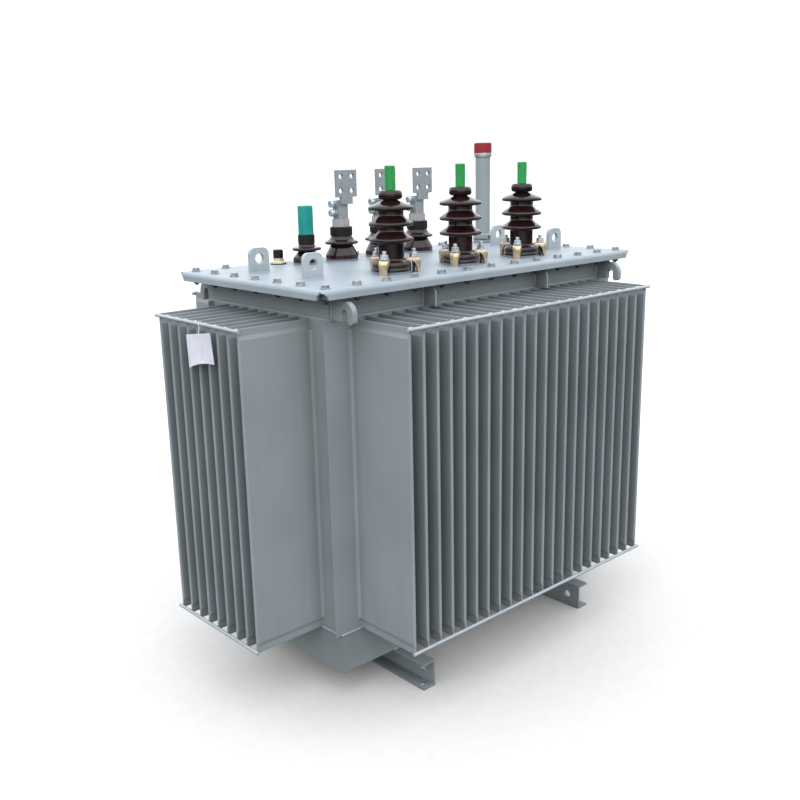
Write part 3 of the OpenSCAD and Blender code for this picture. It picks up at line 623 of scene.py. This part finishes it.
# %% [markdown]
# ## High-voltage porcelain
# A bushing is thrown and turned like a vase: a fat foot, a trunk, three sheds that drip
# rain clear of each other, and a knob. The solids carry its sizes with plain cones. The
# glaze rounds every edge, and a round edge is what the sky draws its bright lines on, so
# each bushing is spun again here from one longer profile and stands for its solid. Rows
# are radius and height in mm. Those of a shed count from the shed's own height.

# %% High-voltage porcelain
SHEDS = (95, 140, 185)
FOOT = [(54, 6), (57, 8.5), (57, 15), (55.4, 16.5), (55.4, 18), (57, 19.5), (57, 25), (55.6, 30),
        (52, 34), (47, 36), (41, 36), (38.5, 37.5), (37, 41), (37, 42.5)]
SHED = [(37, -11), (37, -9.5), (38, -7.5), (41, -6), (57, -5.8), (61.5, -4.8), (64, -2.6),
        (65, 0.4), (64, 3.6), (60, 6.4)]
TO_TRUNK = [(50, 13), (42, 18.5), (38, 23), (37, 27), (37, 28.5)]
TO_NECK = [(46, 12), (32, 17.5), (24, 20.4), (21, 22), (21, 23.4)]
KNOB = [(27, 208.6), (32, 211), (34.4, 216), (34.4, 226), (32, 232), (27, 234.8), (16, 235)]

profile = list(FOOT)
for z in SHEDS:
    rest = TO_NECK if z == SHEDS[-1] else TO_TRUNK
    profile += [(r, z + dz) for r, dz in SHED + rest]
profile = in_mm(profile + KNOB)
bushing_spots = []
for n in (1, 2, 3):
    stand = Matrix.Translation((*centre(f"hv_bushing_{n}"), lid_top))
    bushing_spots.append(stand)
    bm = bmesh.new()
    turned(bm, profile, stand, sides=72)
    made = piece(f"hv_porcelain_{n}", bm, PORCELAIN, sharp=50)
    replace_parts(made, f"hv_bushing_{n}")

# %% [markdown]
# ## Claws
# A claw is pressed from strip: a back that bends over the foot of the bushing, with a cheek
# down each side for stiffness. It could be bent from plain bar, as the solids have it. Here
# each station along the bend has an outer and an inner point and a half width, so cheeks,
# waist and bend come from one table.

# %% Claws
CLAW = [  # outer radius and height, inner radius and height, half width, in mm
    (41, 40, 41, 36, 10), (44, 43, 44, 36, 11), (50, 44, 50, 35.5, 12),
    (62, 44, 57, 34.5, 13), (70, 44, 60.5, 33, 13.6), (77, 42.6, 63.5, 30.5, 14),
    (82, 39, 66, 27.5, 14), (85, 33.5, 68.5, 24, 13.5), (85.5, 27, 70.5, 20.5, 12.5),
    (85, 18, 73, 14, 11.6), (84.5, 8, 75, 6.5, 11.4), (84, 0, 76, 0, 12),
]
STRIP, CORNER, CHAMFER = 3.0, 4.0, 0.3
CLAW_TURNS = [math.pi / 2 + third * 2 * math.pi / 3 for third in range(3)]


def claw(bm, place):
    """One pressed claw, drawn along local X and Z."""
    rings = []
    for outer_r, outer_z, inner_r, inner_z, half in CLAW:
        back, tip = Vector((outer_r, 0, outer_z)), Vector((inner_r, 0, inner_z))
        deep = (tip - back).length
        inward = (tip - back).normalized()
        bend = min(CORNER, deep / 2)
        cut = CHAMFER * bend
        cheek = [(half - STRIP, deep), (half, deep), (half, bend), (half - cut, cut),
                 (half - bend, 0)]
        ring = cheek + [(-y, d) for y, d in cheek[::-1]]
        ring += [(STRIP - half, STRIP), (half - STRIP, STRIP)]
        spots = [back + inward * d + Vector((0, y, 0)) for y, d in ring]
        rings.append([bm.verts.new(place @ (spot * MM)) for spot in spots])
    skinned(bm, rings)


bm = bmesh.new()
for stand in bushing_spots:
    for angle in CLAW_TURNS:
        claw(bm, stand @ Matrix.Rotation(angle, 4, "Z"))
made = piece("pressed_claws", bm, YELLOW_ZINC, sharp=55)
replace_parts(made, "hv_clamps")

# %% [markdown]
# ## Clamp studs
# Each high-voltage bushing is held down by its three claws. A stud stands up from the lid
# through each claw, with a wide washer and a nut on it. The stud's place comes from the
# bushing's own middle and from the circle that the claws are drilled on.

# %% Clamp studs
STUD_CIRCLE = 65.5 * MM
SHAFT, SHAFT_PITCH = 10.6 * MM, 1.5 * MM
STUD_WASHER, STUD_THICK = 27 * MM, 3 * MM
STUD_FLATS, STUD_NUT = 21 * MM, 11 * MM
STUD_THREAD, STUD_PITCH, STUD_END = 13 * MM, 1.75 * MM, 24 * MM
ON_STUD_NUT = STUD_THICK + STUD_NUT
claw_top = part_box("hv_clamps")[1].z
bm, shafts = bmesh.new(), bmesh.new()
for stand in bushing_spots:
    middle = stand.translation
    for angle in CLAW_TURNS:
        x = middle.x + STUD_CIRCLE * math.cos(angle)
        y = middle.y + STUD_CIRCLE * math.sin(angle)
        spin = Matrix.Rotation(dice.uniform(0, SIXTH), 4, "Z")
        on_claw = Matrix.Translation((x, y, claw_top)) @ spin
        foot = Matrix.Translation((x, y, lid_top))
        turned(shafts, thread(SHAFT, SHAFT_PITCH, 0, claw_top - lid_top), foot, sides=16)
        turned(bm, washer(STUD_WASHER, STUD_THICK, 0), on_claw)
        turned(bm, hexagon(STUD_FLATS, STUD_NUT, STUD_THICK), on_claw, flats=STUD_FLATS)
        turned(bm, thread(STUD_THREAD, STUD_PITCH, ON_STUD_NUT, STUD_END), on_claw, sides=16)
piece("clamp_studs", bm, BRIGHT_ZINC)
piece("stud_shafts", shafts, SHADED_ZINC)

# %% [markdown]
# ## Bolts of the flag clamps
# A split block grips each low-voltage stud, and two bolts with round, hollow heads pull it
# tight. The heads stand out on the left side of the block.

# %% Flag clamp bolts
HEAD_DROPS = (11 * MM, 40 * MM)
BLOCK_LEFT, BLOCK_DEPTH, BLOCK_TOP = 29 * MM, 31 * MM, 194 * MM
HEAD_BACK = 6 * MM
HEAD_WASHER, HEAD_THICK = 24 * MM, 3 * MM
HEAD = in_mm([(7, 3), (7, 6), (11, 6), (12, 7), (12, 18), (10.5, 20), (5.2, 20.3), (5, 15)])
bm = bmesh.new()
for n in (1, 2, 3):
    low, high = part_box(f"lv_terminal_{n}")
    left = (low.x + high.x) / 2 - BLOCK_LEFT
    back = high.y - BLOCK_DEPTH / 2 + HEAD_BACK
    for drop in HEAD_DROPS:
        spot = Matrix.Translation((left, back, lid_top + BLOCK_TOP - drop))
        out = spot @ Matrix.Rotation(-math.pi / 2, 4, "Y")
        turned(bm, washer(HEAD_WASHER, HEAD_THICK, 0), out)
        turned(bm, HEAD, out)
piece("flag_clamp_bolts", bm, BRIGHT_ZINC)

# %% [markdown]
# ## Weld beads
# The wall sheets are welded to the pan below and to the rim band above, and the pan is
# closed at its corners. A hand weld is a row of overlapping drops, so the bead swells
# and shrinks along its path every few millimetres and wanders a little. A smooth pipe
# would look like a seal instead.

# %% Weld tool
RIPPLE = 9 * MM
STEP = 3 * MM
THIN, SWELL, END_TAPER = 0.72, 0.34, 0.55  # shares of a bead's radius
WANDER, UNEVEN = 0.08, 0.05
hand = random.Random(23)


def weld(bm, start, end, size):
    """One straight bead of this radius, rippled and slightly unsteady."""
    start, end = Vector(start), Vector(end)
    length = (end - start).length
    count = max(4, int(length / STEP))
    points, radii = [], []
    for i in range(count + 1):
        share = i / count
        swell = abs(math.sin(math.pi * share * length / RIPPLE))
        taper = END_TAPER if i in (0, count) else 1.0
        stray = Vector([hand.uniform(-WANDER, WANDER) * size for _ in range(3)])
        points.append(start.lerp(end, share) + stray)
        radii.append(size * taper * (THIN + SWELL * swell + hand.uniform(-UNEVEN, UNEVEN)))
    sweep(bm, points, radii, sides=7)


print("a metre of weld has", int(1 / STEP), "steps")

# %% Tank welds
SHEET = 2 * MM
FOOT_BEAD, HEAD_BEAD, SEAM_BEAD = 4 * MM, 2.6 * MM, 1.4 * MM
SEAM_START, SEAM_STOP = 2 * MM, 6 * MM
front_low, front_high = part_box("front_fin_wall")
wall_foot, wall_head = front_low.z, front_high.z
pan_low, pan_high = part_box("base_pan")
pan_x, pan_y = pan_high.x, pan_high.y
face_x, face_y = pan_x + SHEET / 2, pan_y + SHEET / 2
bm, seams = bmesh.new(), bmesh.new()
for s in (-1, 1):
    for start, end in (((-pan_x, s * face_y), (pan_x, s * face_y)),
                       ((s * face_x, -pan_y), (s * face_x, pan_y))):
        weld(bm, (*start, wall_foot), (*end, wall_foot), FOOT_BEAD)
        weld(bm, (*start, wall_head), (*end, wall_head), HEAD_BEAD)
    for t in (-1, 1):
        corner = (s * pan_x, t * pan_y)
        weld(seams, (*corner, pan_low.z + SEAM_START), (*corner, wall_foot - SEAM_STOP), SEAM_BEAD)
piece("tank_welds", bm, HIGHLIGHT_ENAMEL)
piece("pan_seams", seams, SHADED_ENAMEL)

# %% [markdown]
# Hooks, gussets, lugs and skids are plates set on edge, with a fillet on each side.

# %% Plate welds
HOOK_HALF, GUSSET_HALF, GUSSET_X = 8 * MM, 3 * MM, 250 * MM
PLATE_BEAD, SKID_BEAD = 3 * MM, 3.5 * MM
ABOVE_HEAD, BELOW_FLANGE = 4 * MM, 2 * MM
hook_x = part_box("front_hooks")[1].x - HOOK_HALF
bm = bmesh.new()
for s in (-1, 1):
    for t in (-1, 1):
        for x, half in ((s * hook_x, HOOK_HALF), (s * GUSSET_X, GUSSET_HALF)):
            for edge in (x - half, x + half):
                weld(bm, (edge, t * pan_y, wall_head + ABOVE_HEAD),
                     (edge, t * pan_y, under - BELOW_FLANGE), PLATE_BEAD)
for name in LUGS:
    low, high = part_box(name)
    for y in (low.y, high.y):
        weld(bm, (low.x, y, lid_top), (high.x, y, lid_top), PLATE_BEAD)
    for x in (low.x, high.x):
        weld(bm, (x, low.y, lid_top), (x, high.y, lid_top), PLATE_BEAD)
for name in ("left_skid", "right_skid"):
    low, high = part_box(name)
    for t in (-1, 1):
        weld(bm, (low.x, t * pan_y, high.z), (high.x, t * pan_y, high.z), SKID_BEAD)
piece("plate_welds", bm, HIGHLIGHT_ENAMEL)

# %% [markdown]
# ## Tacks on the tie rods
# A rod runs across the outer corners of the fins and is tacked to each one. A tack is
# a single drop of weld, low and round, on the inner shoulder of the rod.

# %% Rod tacks
FIN_PITCH = 50 * MM
ROD_RADIUS = 5 * MM
TACK_LONG, TACK_DEEP, TACK_TALL = 9 * MM, 4.6 * MM, 3.8 * MM
TACK_IN, TACK_LIFT = 3 * MM, 3.6 * MM
RODS = (("front_tie_rods", 22, True), ("back_tie_rods", 22, True),
        ("left_tie_rods", 9, False), ("right_tie_rods", 7, False))


def tack(bm, spot, sizes):
    """One drop of weld: a squashed ball, never twice the same size."""
    ball = bmesh.ops.create_icosphere(bm, subdivisions=2, radius=1.0)
    stretch = Vector([size * hand.uniform(0.85, 1.15) for size in sizes])
    for vert in ball["verts"]:
        vert.co = Vector(spot) + vert.co * stretch


bm = bmesh.new()
for node, fins, lengthwise in RODS:
    low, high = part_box(node)
    middle = (low + high) / 2
    for i in range(fins):
        along = (i - (fins - 1) / 2) * FIN_PITCH
        for z in (low.z + ROD_RADIUS - TACK_LIFT, high.z - ROD_RADIUS + TACK_LIFT):
            if lengthwise:
                inner_y = middle.y - math.copysign(TACK_IN, middle.y)
                tack(bm, (along, inner_y, z), (TACK_LONG, TACK_DEEP, TACK_TALL))
            else:
                inner_x = middle.x - math.copysign(TACK_IN, middle.x)
                tack(bm, (inner_x, along, z), (TACK_DEEP, TACK_LONG, TACK_TALL))
piece("rod_tacks", bm, HIGHLIGHT_ENAMEL, sharp=80)

# %% [markdown]
# ## The hanging tag
# A blank card hangs from the upper rod of the left wall on a loop of white string. It
# could be one flat rectangle. Card that has hung outdoors curls, so it is a grid whose
# lower edge lifts in the middle and whose sides bow out a little from the fins.

# %% Tag
TAG_WIDE, TAG_TALL, TAG_TILT = 126 * MM, 88 * MM, math.radians(8.5)
TAG_HOLE = Vector((-0.8475, -0.030, 1.0885))
TAG_THICK = 0.5 * MM
ABOVE_HOLE, EDGE_LIFT = 9 * MM, 7 * MM
WAVE, HOLLOW, LEAN = 3 * MM, 5 * MM, 2 * MM
ROWS, COLUMNS = 14, 20


def tag_point(u, v, skin):
    """Point on the card: u from -1 to 1 across, v from 0 at the top to 1 below."""
    y = -u * TAG_WIDE / 2
    z = ABOVE_HOLE - v * TAG_TALL + EDGE_LIFT * v ** 3 * (1 - (u - 0.25) ** 2)
    bow = WAVE * math.sin(2.2 * u + 0.6) * v - HOLLOW * v * v * (1 - u * u) - LEAN * v
    tilted_y = y * math.cos(TAG_TILT) + z * math.sin(TAG_TILT)
    tilted_z = z * math.cos(TAG_TILT) - y * math.sin(TAG_TILT)
    return TAG_HOLE + Vector((bow - skin, tilted_y, tilted_z))


bm = bmesh.new()
grids = []
for skin in (0, TAG_THICK):
    grid = [[bm.verts.new(tag_point(2 * c / COLUMNS - 1, r / ROWS, skin))
             for c in range(COLUMNS + 1)] for r in range(ROWS + 1)]
    grids.append(grid)
    for r in range(ROWS):
        for c in range(COLUMNS):
            bm.faces.new((grid[r][c], grid[r][c + 1], grid[r + 1][c + 1], grid[r + 1][c]))
rim = [(0, c) for c in range(COLUMNS)] + [(r, COLUMNS) for r in range(ROWS)]
rim += [(ROWS, c) for c in range(COLUMNS, 0, -1)] + [(r, 0) for r in range(ROWS, 0, -1)]
inner, outer = grids
for (r, c), (r2, c2) in zip(rim, rim[1:] + rim[:1]):
    bm.faces.new((inner[r][c], inner[r2][c2], outer[r2][c2], outer[r][c]))
piece("hanging_tag", bm, CARD)

# %% [markdown]
# The string is two strands that rise from the hole, turn round the rod and end behind
# themselves, with a knot at the hole. Its points were chosen from the rod's size.

# %% String
STRAND, KNOT, SPREAD = 0.8 * MM, 2.0 * MM, 1.2 * MM
WRAP = ROD_RADIUS + 0.9 * MM
WRAP_STEPS = 11
rod_low, rod_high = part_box("left_tie_rods")
rod_mid = Vector(((rod_low.x + rod_high.x) / 2, TAG_HOLE.y, rod_high.z - ROD_RADIUS))
bm = bmesh.new()
for shift in (-SPREAD, SPREAD):
    path = [TAG_HOLE + Vector((-SPREAD, shift / 2, 0)),
            rod_mid + Vector((-WRAP, shift - 2 * MM, -12 * MM))]
    for k in range(WRAP_STEPS):
        angle = math.pi + k * math.pi / 8
        path.append(rod_mid + Vector((WRAP * math.cos(angle), shift, -WRAP * math.sin(angle))))
    path.append(rod_mid + Vector((-WRAP + 2 * MM, shift + 1 * MM, -13 * MM)))
    sweep(bm, path, [STRAND] * len(path), sides=8)
knot = bmesh.ops.create_icosphere(bm, subdivisions=2, radius=KNOT)
for vert in knot["verts"]:
    vert.co += TAG_HOLE + Vector((-1.0 * MM, 0, 0))
piece("tag_string", bm, CARD, sharp=80)

# %% [markdown]
# ## Details of the filler pipe
# The pipe stands in a screwed foot. A dark seal shows as a line round the foot, and a
# small grub screw holds it. Under the red cap the pipe ends in a bright plated ring.

# %% Pipe details
SEAL_WIDE, SEAL_THICK, SEAL_UP = 73.2 * MM, 3 * MM, 14 * MM
RING = [(30, -15), (32.6, -11), (33, -9), (33, -0.3)]
SCREW = [(4, 0), (4, 2.2), (3.4, 2.8), (2, 2.8), (2, 1)]
SCREW_ANGLE, SCREW_UP, SCREW_OUT = math.radians(-95), 24 * MM, 35 * MM
pipe = Vector((*centre("filler_pipe"), lid_top))
pipe_top = Vector((pipe.x, pipe.y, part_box("filler_pipe")[1].z))

bm = bmesh.new()
turned(bm, washer(SEAL_WIDE, SEAL_THICK, SEAL_UP), Matrix.Translation(pipe), sides=48)
piece("pipe_foot_seal", bm, RUBBER)

bm = bmesh.new()
turned(bm, in_mm(RING), Matrix.Translation(pipe_top), sides=64)
piece("pipe_ring", bm, BRIGHT_ZINC)

foot_side = Matrix.Translation(pipe + Vector((0, 0, SCREW_UP)))
foot_side = foot_side @ Matrix.Rotation(SCREW_ANGLE, 4, "Z") @ Matrix.Translation((SCREW_OUT, 0, 0))
bm = bmesh.new()
turned(bm, in_mm(SCREW), foot_side @ Matrix.Rotation(math.pi / 2, 4, "Y"), sides=16)
piece("pipe_grub_screw", bm, RUBBER)

# %% [markdown]
# The brass plug beside the neutral bushing is two rings turned from one bar, a wide one to
# sit on and a narrow one under the cap. It is screwed down on a ring of dark rubber.

# %% Plug and its seal
RINGS = [(0.94, 0.1), (1.0, 0.15), (1.0, 0.36), (0.93, 0.43), (0.7, 0.45), (0.66, 0.48),
         (0.66, 0.62), (0.6, 0.66), (0.6, 0.7), (0.66, 0.74), (0.66, 0.95), (0.6, 1.0)]
RUBBER_OUT, RUBBER_THICK = 3 * MM, 2.4 * MM
plug_low, plug_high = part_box("vent_plug")
plug_wide, plug_tall = plug_high.x - plug_low.x, plug_high.z - lid_top
stand = Matrix.Translation((*centre("vent_plug"), lid_top))
bm = bmesh.new()
turned(bm, washer(plug_wide + RUBBER_OUT, RUBBER_THICK, 0), stand, sides=48)
piece("plug_seal", bm, RUBBER)

bm = bmesh.new()
turned(bm, [(r * plug_wide / 2, z * plug_tall) for r, z in RINGS], stand, sides=48)
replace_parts(piece("turned_plug", bm, BRASS), "vent_plug")

# %% [markdown]
# ## Measure and finish
# The dressed part must stay inside the box of its solids, so the box of the dressed part is
# measured.

# %% Sizes
low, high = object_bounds()
